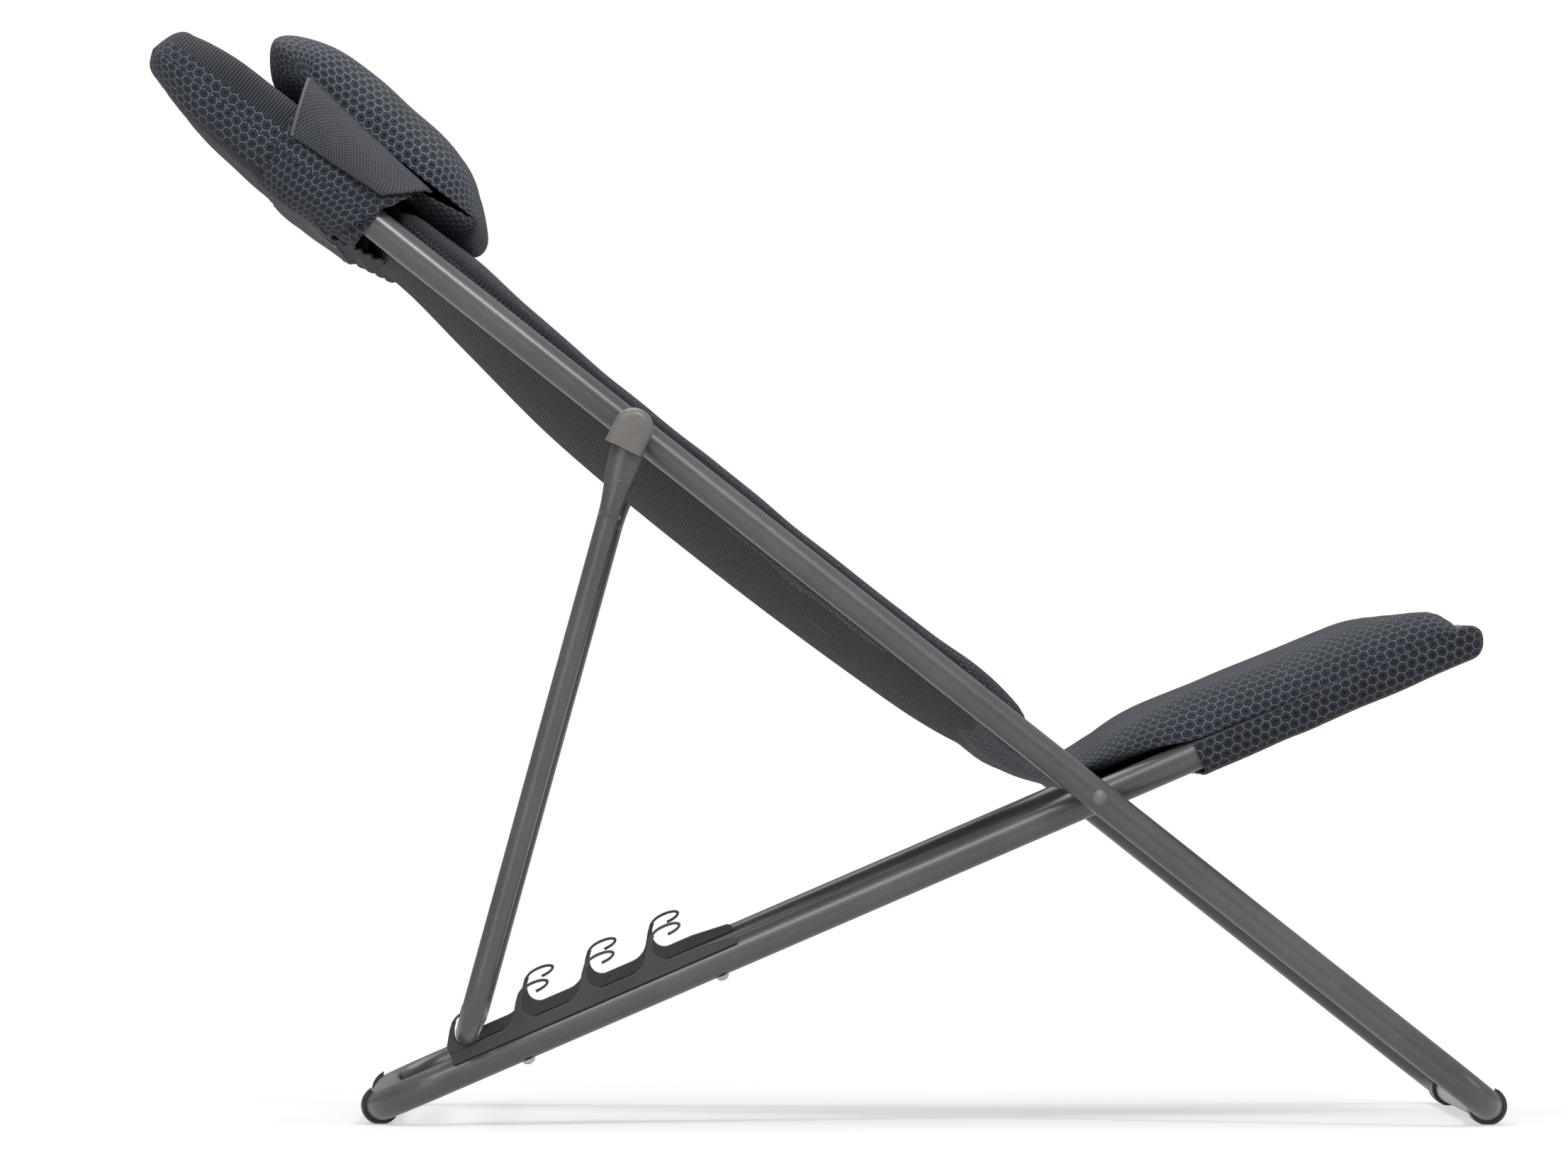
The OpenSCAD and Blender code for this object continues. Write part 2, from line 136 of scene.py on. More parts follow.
def spread(first, last, count):
    return [first + (last - first) * i / (count - 1) for i in range(count)]


# camera and light, seen from the chair's right side
cameraSettings = {"place": (-9.79, 0.142, 0.348), "aim": (-0.29, 0.036, 0.432), "lens": 272.2}
camData = bpy.data.cameras.new("viewCamera")
camData.lens = cameraSettings["lens"]
camData.sensor_width = 36
camera = bpy.data.objects.new("viewCamera", camData)
bpy.context.scene.collection.objects.link(camera)
camera.location = cameraSettings["place"]
camera.rotation_euler = (Vector(cameraSettings["aim"]) - camera.location).to_track_quat("-Z", "Y").to_euler()
bpy.context.scene.camera = camera
bpy.context.scene.view_settings.view_transform = "Standard"

lightSettings = {
    # name: (place, size, watts)
    "keyLight": ((-2.7, -0.9, 3.1), 0.7, 82),
    "railLight": ((-2.7, 1.3, 2.9), 1.3, 38),
    "fillLight": ((-4.0, 1.6, 1.2), 2.2, 24),
    "rimLight": ((1.2, 0.4, 3.6), 2.4, 70),
    "frontLight": ((-0.7, -4.2, 1.1), 1.3, 16),
}
for lightName, (place, size, watts) in lightSettings.items():
    lamp = bpy.data.lights.new(lightName, "AREA")
    lamp.size = size
    lamp.energy = watts
    lampObject = bpy.data.objects.new(lightName, lamp)
    bpy.context.scene.collection.objects.link(lampObject)
    lampObject.location = place
    lampObject.rotation_euler = (Vector((0, 0, 0.35)) - Vector(place)).to_track_quat("-Z", "Y").to_euler()

world = bpy.data.worlds.new("studioWorld")
bpy.context.scene.world = world
world.use_nodes = True
worldTree = world.node_tree
plainWhite = worldTree.nodes["Background"]
plainWhite.inputs["Color"].default_value = (1, 1, 1, 1)
# the camera sees plain white, and the object is lit by a room that is bright above and dim below
studioRoom = worldTree.nodes.new("ShaderNodeBackground")
direction = worldTree.nodes.new("ShaderNodeTexCoord")
height = worldTree.nodes.new("ShaderNodeSeparateXYZ")
worldTree.links.new(direction.outputs["Generated"], height.inputs[0])
roomRamp = worldTree.nodes.new("ShaderNodeMapRange")
roomRamp.inputs["From Min"].default_value = -0.35
roomRamp.inputs["From Max"].default_value = 0.9
roomRamp.inputs["To Min"].default_value = 0.26
roomRamp.inputs["To Max"].default_value = 0.95
worldTree.links.new(height.outputs["Z"], roomRamp.inputs["Value"])
worldTree.links.new(roomRamp.outputs[0], studioRoom.inputs["Strength"])
rays = worldTree.nodes.new("ShaderNodeLightPath")
seen = worldTree.nodes.new("ShaderNodeMixShader")
worldTree.links.new(rays.outputs["Is Camera Ray"], seen.inputs[0])
worldTree.links.new(studioRoom.outputs[0], seen.inputs[1])
worldTree.links.new(plainWhite.outputs[0], seen.inputs[2])
worldTree.links.new(seen.outputs[0], worldTree.nodes["World Output"].inputs["Surface"])


class Finish:
    # a material and short ways of adding its nodes
    def __init__(self, name, roughness=0.5, metallic=0.0, specular=0.5, sheen=0.0):
        self.material = bpy.data.materials.new(name)
        self.material.use_nodes = True
        self.tree = self.material.node_tree
        self.shader = self.tree.nodes["Principled BSDF"]
        self.shader.inputs["Roughness"].default_value = roughness
        self.shader.inputs["Metallic"].default_value = metallic
        self.shader.inputs["Specular IOR Level"].default_value = specular
        self.shader.inputs["Sheen Weight"].default_value = sheen
        self.coords = self.tree.nodes.new("ShaderNodeTexCoord")

    def link(self, source, target):
        self.tree.links.new(source, target)

    def node(self, kind, **values):
        made = self.tree.nodes.new(kind)
        for key, value in values.items():
            setattr(made, key, value)
        return made

    def put(self, socket, value):
        if isinstance(value, bpy.types.NodeSocket):
            self.link(value, socket)
        else:
            socket.default_value = value

    def math(self, operation, a, b=0.0, c=None, clamp=False):
        made = self.node("ShaderNodeMath", operation=operation, use_clamp=clamp)
        self.put(made.inputs[0], a)
        self.put(made.inputs[1], b)
        if c is not None:
            self.put(made.inputs[2], c)
        return made.outputs[0]

    def vector(self, operation, a, b=(0, 0, 0)):
        made = self.node("ShaderNodeVectorMath", operation=operation)
        self.put(made.inputs[0], a)
        self.put(made.inputs[1], b)
        return made.outputs["Value"] if operation == "LENGTH" else made.outputs[0]

    def grain(self, vector, scale, detail=3.0, rough=0.6):
        made = self.node("ShaderNodeTexNoise")
        self.put(made.inputs["Vector"], vector)
        made.inputs["Scale"].default_value = scale
        made.inputs["Detail"].default_value = detail
        made.inputs["Roughness"].default_value = rough
        return made.outputs["Fac"]

    def ramp(self, value, stops):
        made = self.node("ShaderNodeValToRGB")
        self.put(made.inputs[0], value)
        band = made.color_ramp
        while len(band.elements) > 1:
            band.elements.remove(band.elements[-1])
        for i, (place, shade) in enumerate(stops):
            stop = band.elements[0] if i == 0 else band.elements.new(place)
            stop.position = place
            stop.color = (*shade, 1) if hasattr(shade, "__len__") else (shade, shade, shade, 1)
        return made.outputs["Color"]

    def mix(self, share, a, b, blend="MIX"):
        made = self.node("ShaderNodeMix", data_type="RGBA", blend_type=blend)
        self.put(made.inputs[0], share)
        self.put(made.inputs[6], a if not isinstance(a, tuple) else (*a, 1))
        self.put(made.inputs[7], b if not isinstance(b, tuple) else (*b, 1))
        return made.outputs[2]

    def bump(self, height, strength, distance):
        made = self.node("ShaderNodeBump")
        made.inputs["Strength"].default_value = strength
        made.inputs["Distance"].default_value = distance
        self.put(made.inputs["Height"], height)
        self.link(made.outputs[0], self.shader.inputs["Normal"])


def paintedTube(name, colour, roughness):
    # satin powder coat: a fine orange peel, slight cloudiness and pale specks
    f = Finish(name, roughness=roughness, metallic=0.2, specular=0.5)
    where = f.coords.outputs["Object"]
    cloud = f.grain(where, 9, 4)
    peel = f.grain(where, 1400, 2)
    speck = f.grain(where, 620, 1)
    dark = tuple(c * 0.86 for c in colour)
    light = tuple(c * 1.13 for c in colour)
    base = f.ramp(cloud, [(0.35, dark), (0.65, light)])
    specks = f.ramp(speck, [(0.62, 0.0), (0.74, 0.14)])
    f.link(f.mix(specks, base, (0.30, 0.29, 0.28)), f.shader.inputs["Base Color"])
    f.link(f.math("MULTIPLY_ADD", cloud, 0.08, roughness - 0.04), f.shader.inputs["Roughness"])
    f.bump(peel, 0.14, 0.00020)
    return f.material


def mouldedPlastic(name, colour, roughness, grainScale=900, bump=0.25):
    # moulded part: a fine moulded grain, slight cloudiness and paler scuffs
    f = Finish(name, roughness=roughness, specular=0.42)
    where = f.coords.outputs["Object"]
    cloud = f.grain(where, 14, 4)
    texture = f.grain(where, grainScale, 3)
    scuff = f.grain(where, 55, 6, 0.75)
    base = f.ramp(cloud, [(0.3, tuple(c * 0.82 for c in colour)), (0.7, tuple(c * 1.15 for c in colour))])
    scuffs = f.ramp(scuff, [(0.60, 0.0), (0.78, 0.25)])
    f.link(f.mix(scuffs, base, tuple(min(1, c * 2.1 + 0.01) for c in colour)), f.shader.inputs["Base Color"])
    f.link(f.math("MULTIPLY_ADD", texture, 0.2, roughness - 0.1), f.shader.inputs["Roughness"])
    f.bump(texture, bump, 0.00018)
    return f.material


def platedSteel(name):
    # plated screws and pins: duller and brighter patches
    f = Finish(name, roughness=0.32, metallic=1.0)
    where = f.coords.outputs["Object"]
    cloud = f.grain(where, 30, 4)
    fine = f.grain(where, 1100, 2)
    base = f.ramp(cloud, [(0.3, (0.33, 0.32, 0.31)), (0.7, (0.5, 0.49, 0.48))])
    f.link(base, f.shader.inputs["Base Color"])
    f.link(f.math("MULTIPLY_ADD", cloud, 0.25, 0.2), f.shader.inputs["Roughness"])
    f.bump(fine, 0.2, 0.0001)
    return f.material


def hexSpacer(name, pitch, holeShade, fill, thread, holeSize, depth, sheen=0.06):
    # knitted spacer mesh: six-sided cells in offset rows, looped yarn in each and a raised thread round it;
    # the holes and a ring just inside the thread are painted dark as painted shade
    f = Finish(name, roughness=0.7, specular=0.25, sheen=sheen)
    f.shader.inputs["Sheen Roughness"].default_value = 0.4
    cloth = f.coords.outputs["UV"]
    wander = f.node("ShaderNodeTexNoise")
    f.link(cloth, wander.inputs["Vector"])
    wander.inputs["Scale"].default_value = 0.3 / pitch
    drift = f.vector("SCALE", f.vector("SUBTRACT", wander.outputs["Color"], (0.5, 0.5, 0.5)))
    drift.node.inputs["Scale"].default_value = 0.5 * pitch
    moved = f.vector("ADD", cloth, drift)
    spots = []
    for shift in (0.0, 0.5):
        cells = f.vector("DIVIDE", moved, (pitch, pitch * math.sqrt(3), 1))
        stepped = f.vector("ADD", cells, (shift, shift, 0))
        inner = f.vector("SUBTRACT", f.vector("FRACTION", stepped), (0.5, 0.5, 0))
        spots.append(f.vector("MULTIPLY", inner, (1, math.sqrt(3), 0)))
    nearer = f.math("LESS_THAN", f.vector("LENGTH", spots[0]), f.vector("LENGTH", spots[1]))
    choice = f.node("ShaderNodeMix", data_type="VECTOR")
    f.link(nearer, choice.inputs[0])
    f.link(spots[1], choice.inputs[4])
    f.link(spots[0], choice.inputs[5])
    split = f.node("ShaderNodeSeparateXYZ")
    f.link(f.vector("ABSOLUTE", choice.outputs[1]), split.inputs[0])
    halfAcross = f.math("MULTIPLY", split.outputs["X"], 0.5)
    slanted = f.math("MULTIPLY_ADD", split.outputs["Y"], math.sqrt(3) / 2, halfAcross)
    edge = f.math("MULTIPLY", f.math("MAXIMUM", split.outputs["X"], slanted), 2.0)
    height = f.ramp(edge, [(0.0, 0.1), (holeSize, 0.25), (holeSize + 0.2, 0.6), (0.70, 0.45),
                           (0.80, 0.1), (0.90, 1.0), (1.0, 0.95)])
    fibre = f.node("ShaderNodeTexNoise")
    f.link(f.vector("MULTIPLY", cloth, (1.0, 2.6, 1.0)), fibre.inputs["Vector"])
    fibre.inputs["Scale"].default_value = 4.5 / pitch
    fibre.inputs["Detail"].default_value = 3
    strands = fibre.outputs["Fac"]
    # painted shade: the hole colour fills each cell's middle and again a ring just inside the raised thread
    base = f.ramp(edge, [(0.0, holeShade), (holeSize, holeShade), (holeSize + 0.18, fill), (0.68, fill), (0.78, holeShade),
                         (0.88, thread), (1.0, thread)])
    lit = f.ramp(strands, [(0.36, 0.35), (0.64, 1.65)])
    shaded = f.mix(1.0, base, lit, "MULTIPLY")
    patches = f.ramp(f.grain(cloth, 16, 3), [(0.3, 0.8), (0.7, 1.2)])
    f.link(f.mix(1.0, shaded, patches, "MULTIPLY"), f.shader.inputs["Base Color"])
    full = f.math("MULTIPLY_ADD", strands, 0.3, height)
    f.bump(full, 1.0, depth)
    return f.material


def ribbedCloth(name, pitch, low, high, across=True, depth=0.0006, sheen=0.06):
    # ribbed knit: raised cords at the pitch, with small stitches along each one; the colour follows the
    # height, so the grooves carry painted shade
    f = Finish(name, roughness=0.75, specular=0.25, sheen=sheen)
    cloth = f.coords.outputs["UV"]
    split = f.node("ShaderNodeSeparateXYZ")
    f.link(cloth, split.inputs[0])
    run, side = (0, 1) if across else (1, 0)
    wobble = f.math("MULTIPLY", f.grain(cloth, 12, 1), pitch * 0.8)
    place = f.math("ADD", split.outputs[run], wobble)
    rib = f.math("SINE", f.math("MULTIPLY", place, 2 * math.pi / pitch))
    stitch = f.math("SINE", f.math("MULTIPLY", split.outputs[side], 2 * math.pi / (pitch * 0.55)))
    height = f.math("MULTIPLY_ADD", stitch, 0.2, rib)
    fuzz = f.grain(cloth, 2.4 / pitch, 3)
    # painted shade: the colour goes darker where the rib height is lower, in the grooves between the cords
    tone = f.math("MULTIPLY_ADD", fuzz, 0.2, f.math("MULTIPLY_ADD", height, 0.42, 0.4))
    f.link(f.ramp(tone, [(0.2, low), (0.85, high)]), f.shader.inputs["Base Color"])
    f.bump(f.math("MULTIPLY_ADD", fuzz, 0.3, height), 1.0, depth)
    return f.material


# cloth shades are: the hole shade, fill, thread, or low and high for the ribbed ones; the hole shade and low
# are painted shade, in the holes and in the grooves
finishes = {
    "frame": paintedTube("framePaint", (0.071, 0.068, 0.067), 0.30),
    "cap": mouldedPlastic("capPlastic", (0.118, 0.108, 0.102), 0.42, 1300, 0.15),
    "rack": mouldedPlastic("rackPlastic", (0.033, 0.032, 0.032), 0.44, 1100, 0.2),
    "dark": mouldedPlastic("footPlastic", (0.024, 0.022, 0.021), 0.42),
    "steel": platedSteel("screwSteel"),
    "pad": hexSpacer("honeycombMesh", 0.0085, (0.002, 0.002, 0.003), (0.014, 0.018, 0.027),
                     (0.078, 0.092, 0.124), 0.14, 0.0034),
    # the pillow: the pad's mesh painted brighter, as painted light for the stronger light on the pillow
    "pillow": hexSpacer("pillowMeshPaintedLight", 0.0085, (0.002, 0.002, 0.003), (0.020, 0.025, 0.036),
                        (0.110, 0.126, 0.162), 0.18, 0.0034),
    "sleeve": hexSpacer("openMesh", 0.0085, (0.001, 0.001, 0.002), (0.011, 0.014, 0.020),
                        (0.064, 0.075, 0.100), 0.24, 0.0034),
    "edge": hexSpacer("closeMesh", 0.0042, (0.001, 0.002, 0.003), (0.010, 0.013, 0.019),
                      (0.052, 0.061, 0.082), 0.1, 0.0010),
    "wing": hexSpacer("fineMesh", 0.0031, (0.001, 0.001, 0.002), (0.010, 0.012, 0.017),
                      (0.100, 0.112, 0.142), 0.2, 0.0014),
    "sling": ribbedCloth("slingMesh", 0.0029, (0.001, 0.001, 0.001), (0.021, 0.021, 0.022), True, 0.0011),
    "ribs": ribbedCloth("hoodRibs", 0.0026, (0.002, 0.003, 0.005), (0.034, 0.040, 0.054)),
    "elastic": ribbedCloth("elasticHem", 0.0020, (0.003, 0.003, 0.004), (0.016, 0.016, 0.018), False),
    "webbing": ribbedCloth("strapWebbing", 0.0017, (0.016, 0.017, 0.019), (0.075, 0.078, 0.085),
                           False, 0.0003),
    "binding": ribbedCloth("edgeBinding", 0.0016, (0.045, 0.048, 0.055), (0.16, 0.168, 0.185), True, 0.0004),
}

for nodeName, obj in nodes.items():
    if "notch_rack" in nodeName or "hook" in nodeName:
        finish = "rack"
    elif "foot" in nodeName or "buckle" in nodeName:
        finish = "dark"
    elif "cap" in nodeName or "rivet" in nodeName:
        finish = "cap"
    elif "screw" in nodeName or "pin" in nodeName:
        finish = "steel"
    elif "spacer" in nodeName:
        finish = "dark"
    else:
        finish = "frame"
    obj.data.materials.clear()
    obj.data.materials.append(finishes[finish])
    for polygon in obj.data.polygons:
        polygon.material_index = 0
print("frame finishes done")


# pale floor: a soft shadow close to the chair, fading to plain white further out
floorSettings = {"radius": 7.0, "below": 0.0004, "shade": 0.86, "glowNear": 0.35, "glowPerMetre": 0.4}


def makeFloor():
    p = floorSettings
    bpy.ops.object.select_all(action="DESELECT")
    bpy.ops.mesh.primitive_circle_add(vertices=96, radius=p["radius"], fill_type="NGON",
                                      location=(0, 0, -p["below"]))
    floor = bpy.context.object
    floor.name = "studioFloor"
    bpy.ops.object.transform_apply(location=True)
    f = Finish("floorWhite", roughness=0.85, specular=0.2)
    f.shader.inputs["Base Color"].default_value = (p["shade"], p["shade"], p["shade"], 1)
    away = f.vector("LENGTH", f.coords.outputs["Object"])
    fade = f.math("MULTIPLY_ADD", away, p["glowPerMetre"], p["glowNear"], clamp=True)
    glow = f.node("ShaderNodeEmission")
    glow.inputs["Color"].default_value = (1, 1, 1, 1)
    blend = f.node("ShaderNodeMixShader")
    f.link(fade, blend.inputs[0])
    f.link(f.shader.outputs[0], blend.inputs[1])
    f.link(glow.outputs[0], blend.inputs[2])
    f.link(blend.outputs[0], f.tree.nodes["Material Output"].inputs["Surface"])
    floor.data.materials.append(f.material)
    floor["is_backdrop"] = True


makeFloor()


def sewRings(name, rings, uvs, closed=True):
    # joins rings of points with quads, keeping each corner's own place on the flat cloth, in metres
    mesh = bpy.data.meshes.new(name)
    piece = bpy.data.objects.new(name, mesh)
    bpy.context.scene.collection.objects.link(piece)
    count = len(rings[0])
    points = [p for ring in rings for p in ring]
    faces, corners = [], []
    for i in range(len(rings) - 1):
        for j in range(count if closed else count - 1):
            k = (j + 1) % count
            faces.append((i * count + j, i * count + k, (i + 1) * count + k, (i + 1) * count + j))
            corners += [uvs[i][j], uvs[i][j + 1], uvs[i + 1][j + 1], uvs[i + 1][j]]
    mesh.from_pydata(points, [], faces)
    flat = mesh.uv_layers.new(name="flatCloth")
    for n, corner in enumerate(corners):
        flat.data[n].uv = corner
    return piece


def flatPlaces(rings, closed=True):
    # along: running length at the middle of the ring; around: running length of the widest ring
    count = len(rings[0])
    widest = max(rings, key=lambda ring: sum((ring[k] - ring[k - 1]).length for k in range(1, count)))
    around = [0.0]
    for k in range(1, count + (1 if closed else 0)):
        around.append(around[-1] + (widest[k % count] - widest[k - 1]).length)
    along, places = 0.0, []
    pick = count // 4 if closed else count // 2
    for i, ring in enumerate(rings):
        if i:
            along += (ring[pick] - rings[i - 1][pick]).length
        places.append([(along, a) for a in around])
    return places


def chooseOnly(piece):
    bpy.ops.object.select_all(action="DESELECT")
    bpy.context.view_layer.objects.active = piece
    piece.select_set(True)


def tidyShell(piece, doubles=0.00002):
    # merges doubled points, turns the faces outward and shades them smooth
    chooseOnly(piece)
    bpy.ops.object.mode_set(mode="EDIT")
    bpy.ops.mesh.select_all(action="SELECT")
    bpy.ops.mesh.remove_doubles(threshold=doubles)
    bpy.ops.mesh.delete_loose()
    bpy.ops.mesh.select_all(action="SELECT")
    bpy.ops.mesh.normals_make_consistent(inside=False)
    bpy.ops.object.mode_set(mode="OBJECT")
    for polygon in piece.data.polygons:
        polygon.use_smooth = True


def acrossSteps(half, roll, flatSteps, rollSteps):
    # (sideways place, thickness share) from one side seam to the other
    left = []
    for i in range(rollSteps):
        a = math.pi / 2 * (1 - i / rollSteps)
        left.append((-(half - roll) - roll * math.sin(a), math.cos(a)))
    middle = [(x, 1.0) for x in spread(-(half - roll), half - roll, flatSteps + 1)]
    return left + middle + [(-x, share) for x, share in reversed(left)]


def endShare(along, end, reach):
    # thickness share: 1 up to reach short of the end, then falling in a quarter round to 0
    rest = min(1.0, (end - along) / reach)
    return math.sqrt(max(0.0, 1 - (1 - rest) ** 2))


def padRing(place, half, roll, top, bottom, seam, dish, bulge, flatSteps, rollSteps):
    # one closed ring round a pad: over the top from seam to seam, then back underneath
    steps = acrossSteps(half, roll, flatSteps, rollSteps)
    over, under = [], []
    for x, share in steps:
        sink = dish * (1 - (x / half) ** 2)
        over.append(place(x, seam + (top - seam) * share * bulge - sink))
        under.append(place(x, seam + (bottom - seam) * share * bulge - sink))
    return over + under[-2:0:-1]


def puff(piece, pressure, cap, stiffness=15.0, steps=20):
    # fills the cloth with air for a few steps, then keeps each point within cap mm of where it was cut
    start = [v.co.copy() for v in piece.data.vertices]
    cloth = piece.modifiers.new("filling", "CLOTH")
    cloth.settings.quality = 5
    cloth.settings.mass = 0.25
    cloth.settings.tension_stiffness = stiffness
    cloth.settings.compression_stiffness = stiffness
    cloth.settings.bending_stiffness = 0.6
    cloth.settings.use_pressure = True
    cloth.settings.uniform_pressure_force = pressure
    cloth.settings.effector_weights.gravity = 0
    cloth.collision_settings.use_collision = False
    cloth.point_cache.frame_start = 1
    cloth.point_cache.frame_end = steps
    for step in range(1, steps + 1):
        bpy.context.scene.frame_set(step)
    filled = piece.evaluated_get(bpy.context.evaluated_depsgraph_get())
    places = [v.co.copy() for v in filled.data.vertices]
    piece.modifiers.remove(cloth)
    for vertex, was, now in zip(piece.data.vertices, start, places):
        move = now - was
        if move.length > cap * mm:
            move *= cap * mm / move.length
        vertex.co = was + move
    bpy.context.scene.frame_set(1)


def subdivide(piece, levels=1):
    smoother = piece.modifiers.new("rounding", "SUBSURF")
    smoother.levels = smoother.render_levels = levels
    smoother.boundary_smooth = "PRESERVE_CORNERS"
    chooseOnly(piece)
    bpy.ops.object.modifier_apply(modifier=smoother.name)


def thicken(piece, thickness, offset=0.0):
    wall = piece.modifiers.new("clothThickness", "SOLIDIFY")
    wall.thickness = thickness
    wall.offset = offset
    chooseOnly(piece)
    bpy.ops.object.modifier_apply(modifier=wall.name)


def wrinkle(piece, size, depth, seed):
    # slack cloth is never quite even
    normals = [v.normal.copy() for v in piece.data.vertices]
    for vertex, normal in zip(piece.data.vertices, normals):
        wave = noise.noise(vertex.co / (size * mm) + Vector((seed, 2 * seed, 0)))
        vertex.co += normal * wave * depth * mm


# lounge pad: one long pad down the back, through the crease and out over the seat
loungePad = {
    "backTop": [(85, 15), (114, 20), (145, 21.5), (172, 20.5), (345, 21.5), (420, 23), (490, 23), (575, 26),
                (690, 31), (745, 33)],
    "backBottom": [(85, -16), (114, -12), (345, -12), (600, -6), (690, 2), (745, 6)],
    "backDish": [(60, 4), (85, 10), (240, 24), (345, 26), (500, 24), (620, 14), (745, 4)],
    "seatTop": [(-6, 30), (10, 34), (34, 39.5), (60, 42.5), (85, 43.5), (145, 42), (190, 40.5), (240, 41.5),
                (270, 42), (290, 41), (303, 39), (318, 34.5), (331, 27.5)],
    "seatBottom": [(-6, 12), (43, 15), (85, 14), (330, 12)],
    "seatSeam": [(-6, 24), (0, 23), (43, 18), (68, 13), (85, 8), (97, 6.5), (330, 7)],
    "backStart": 85, "backEnd": 742, "backReach": 22, "backHalf": 268, "backRoll": 18,
    "seatStart": -6, "seatEnd": 331, "seatReach": 12, "seatHalf": 273, "seatRoll": 46, "seatDish": 6,
    "creaseHalf": 240, "creaseAt": (62, -22), "creaseDip": 0.55,
    "pressure": 3.0, "mostPuff": 7,
}


def makeLoungePad():
    p = loungePad
    rings = []
    for along in spread(p["backEnd"], p["backStart"], 44):
        bulge = endShare(along, p["backEnd"], p["backReach"])
        top, bottom = smoothAt(p["backTop"], along), smoothAt(p["backBottom"], along)
        widen = min(1, max(0, (along - 70) / 90)) ** 0.6
        half = p["creaseHalf"] + (p["backHalf"] - p["creaseHalf"]) * widen
        dish = smoothAt(p["backDish"], along)
        seam = top - 9 - (0 if along > 160 else (160 - along) * 0.04)
        rings.append(padRing(lambda x, up, a=along: onBack(x, a, up), half, p["backRoll"], top, bottom,
                             seam, dish, bulge, 18, 7))
    backLast, seatRings = rings[-1], []
    for along in spread(p["seatStart"], p["seatEnd"], 25):
        bulge = endShare(along, p["seatEnd"], p["seatReach"])
        top, bottom = smoothAt(p["seatTop"], along), smoothAt(p["seatBottom"], along)
        widen = min(1, max(0, (along - p["seatStart"]) / 70)) ** 0.6
        half = p["creaseHalf"] + (p["seatHalf"] - p["creaseHalf"]) * widen
        seam = smoothAt(p["seatSeam"], along)
        dish = p["seatDish"] * min(1, max(0, (along - p["seatStart"]) / 80))
        seatRings.append(padRing(lambda x, up, a=along: onSeat(x, a, up), half, p["seatRoll"], top, bottom,
                                 seam, dish, bulge, 18, 7))
    # the crease: the pad dips between the two, thinner where it bends
    dip = onBack(0, *p["creaseAt"])
    for t in (0.25, 0.5, 0.75):
        ring = []
        for a, b in zip(backLast, seatRings[0]):
            across = a.lerp(b, t)
            lower = Vector((across.x, dip.y, dip.z)) - across
            ring.append(across + lower * p["creaseDip"] * math.sin(math.pi * t))
        rings.append(ring)
    rings += seatRings
    piece = sewRings("lounge_pad", rings, flatPlaces(rings))
    tidyShell(piece)
    puff(piece, p["pressure"], p["mostPuff"])
    subdivide(piece)
    wrinkle(piece, 60, 1.6, 3.1)
    piece.data.materials.append(finishes["pad"])
    piece.data.materials.append(finishes["edge"])
    for polygon in piece.data.polygons:
        c = polygon.center
        if abs(c.x) > (p["backHalf"] - 9) * mm and c.y > onBack(0, 90, 0).y:
            polygon.material_index = 1
    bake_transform(piece)
    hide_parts("back_pad", "seat_pad")


makeLoungePad()
print("lounge pad done")


# sling: the ribbed cloth under the pad, hung between the tubes
sling = {
    "backLow": [(62, -14), (85, -24), (114, -33), (172, -40), (345, -46), (518, -43), (633, -30),
                (690, -22.5), (716, -21), (738, -20)],
    "backStart": 62, "backEnd": 738, "seatStart": 8, "seatEnd": 300,
    "backEdge": -4, "seatEdge": 6, "seatLow": 4, "half": 270, "creaseHalf": 241, "thickness": 1.6,
    "hang": 2.6,            # higher is flatter in the middle and steeper at the tubes
}


def makeSling():
    p = sling
    rings = []
    for along in spread(p["backEnd"], p["backStart"], 60):
        low = smoothAt(p["backLow"], along)
        widen = min(1, max(0, (along - 75) / 70)) ** 0.6
        half = p["creaseHalf"] + (p["half"] - p["creaseHalf"]) * widen
        ring = []
        for x in spread(-half, half, 41):
            share = 1 - abs(x / half) ** p["hang"]
            ring.append(onBack(x, along, p["backEdge"] + (low - p["backEdge"]) * share))
        rings.append(ring)
    last = rings[-1]
    seatRings = []
    for along in spread(p["seatStart"], p["seatEnd"], 24):
        ring = []
        for x in spread(-p["creaseHalf"], p["creaseHalf"], 41):
            share = 1 - abs(x / p["creaseHalf"]) ** p["hang"]
            ring.append(onSeat(x, along, p["seatEdge"] + (p["seatLow"] - p["seatEdge"]) * share))
        seatRings.append(ring)
    for t in (0.2, 0.4, 0.6, 0.8):
        rings.append([a.lerp(b, t) for a, b in zip(last, seatRings[0])])
    rings += seatRings
    piece = sewRings("lounge_sling", rings, flatPlaces(rings, False), closed=False)
    tidyShell(piece)
    subdivide(piece)
    thicken(piece, p["thickness"] * mm)
    piece.data.materials.append(finishes["sling"])
    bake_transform(piece)
    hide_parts("back_sling", "seat_sling")


makeSling()
print("sling done")


# seat pocket: the sleeve over the front bend of the seat rails
pocket = {
    "from": 87, "nose": 336, "half": 272, "noseReach": 14,
    # section at the side: (in from the half width, up)
    "side": [(-32, 9.5), (-10, 9.5), (-3, 8.5), (-0.5, 5), (0, 0), (0, -7), (-1, -12), (-4, -16),
             (-10, -18.5), (-32, -18.5)],
    "flatHalf": 230, "middle": -1.0, "taper": 0.05,
}


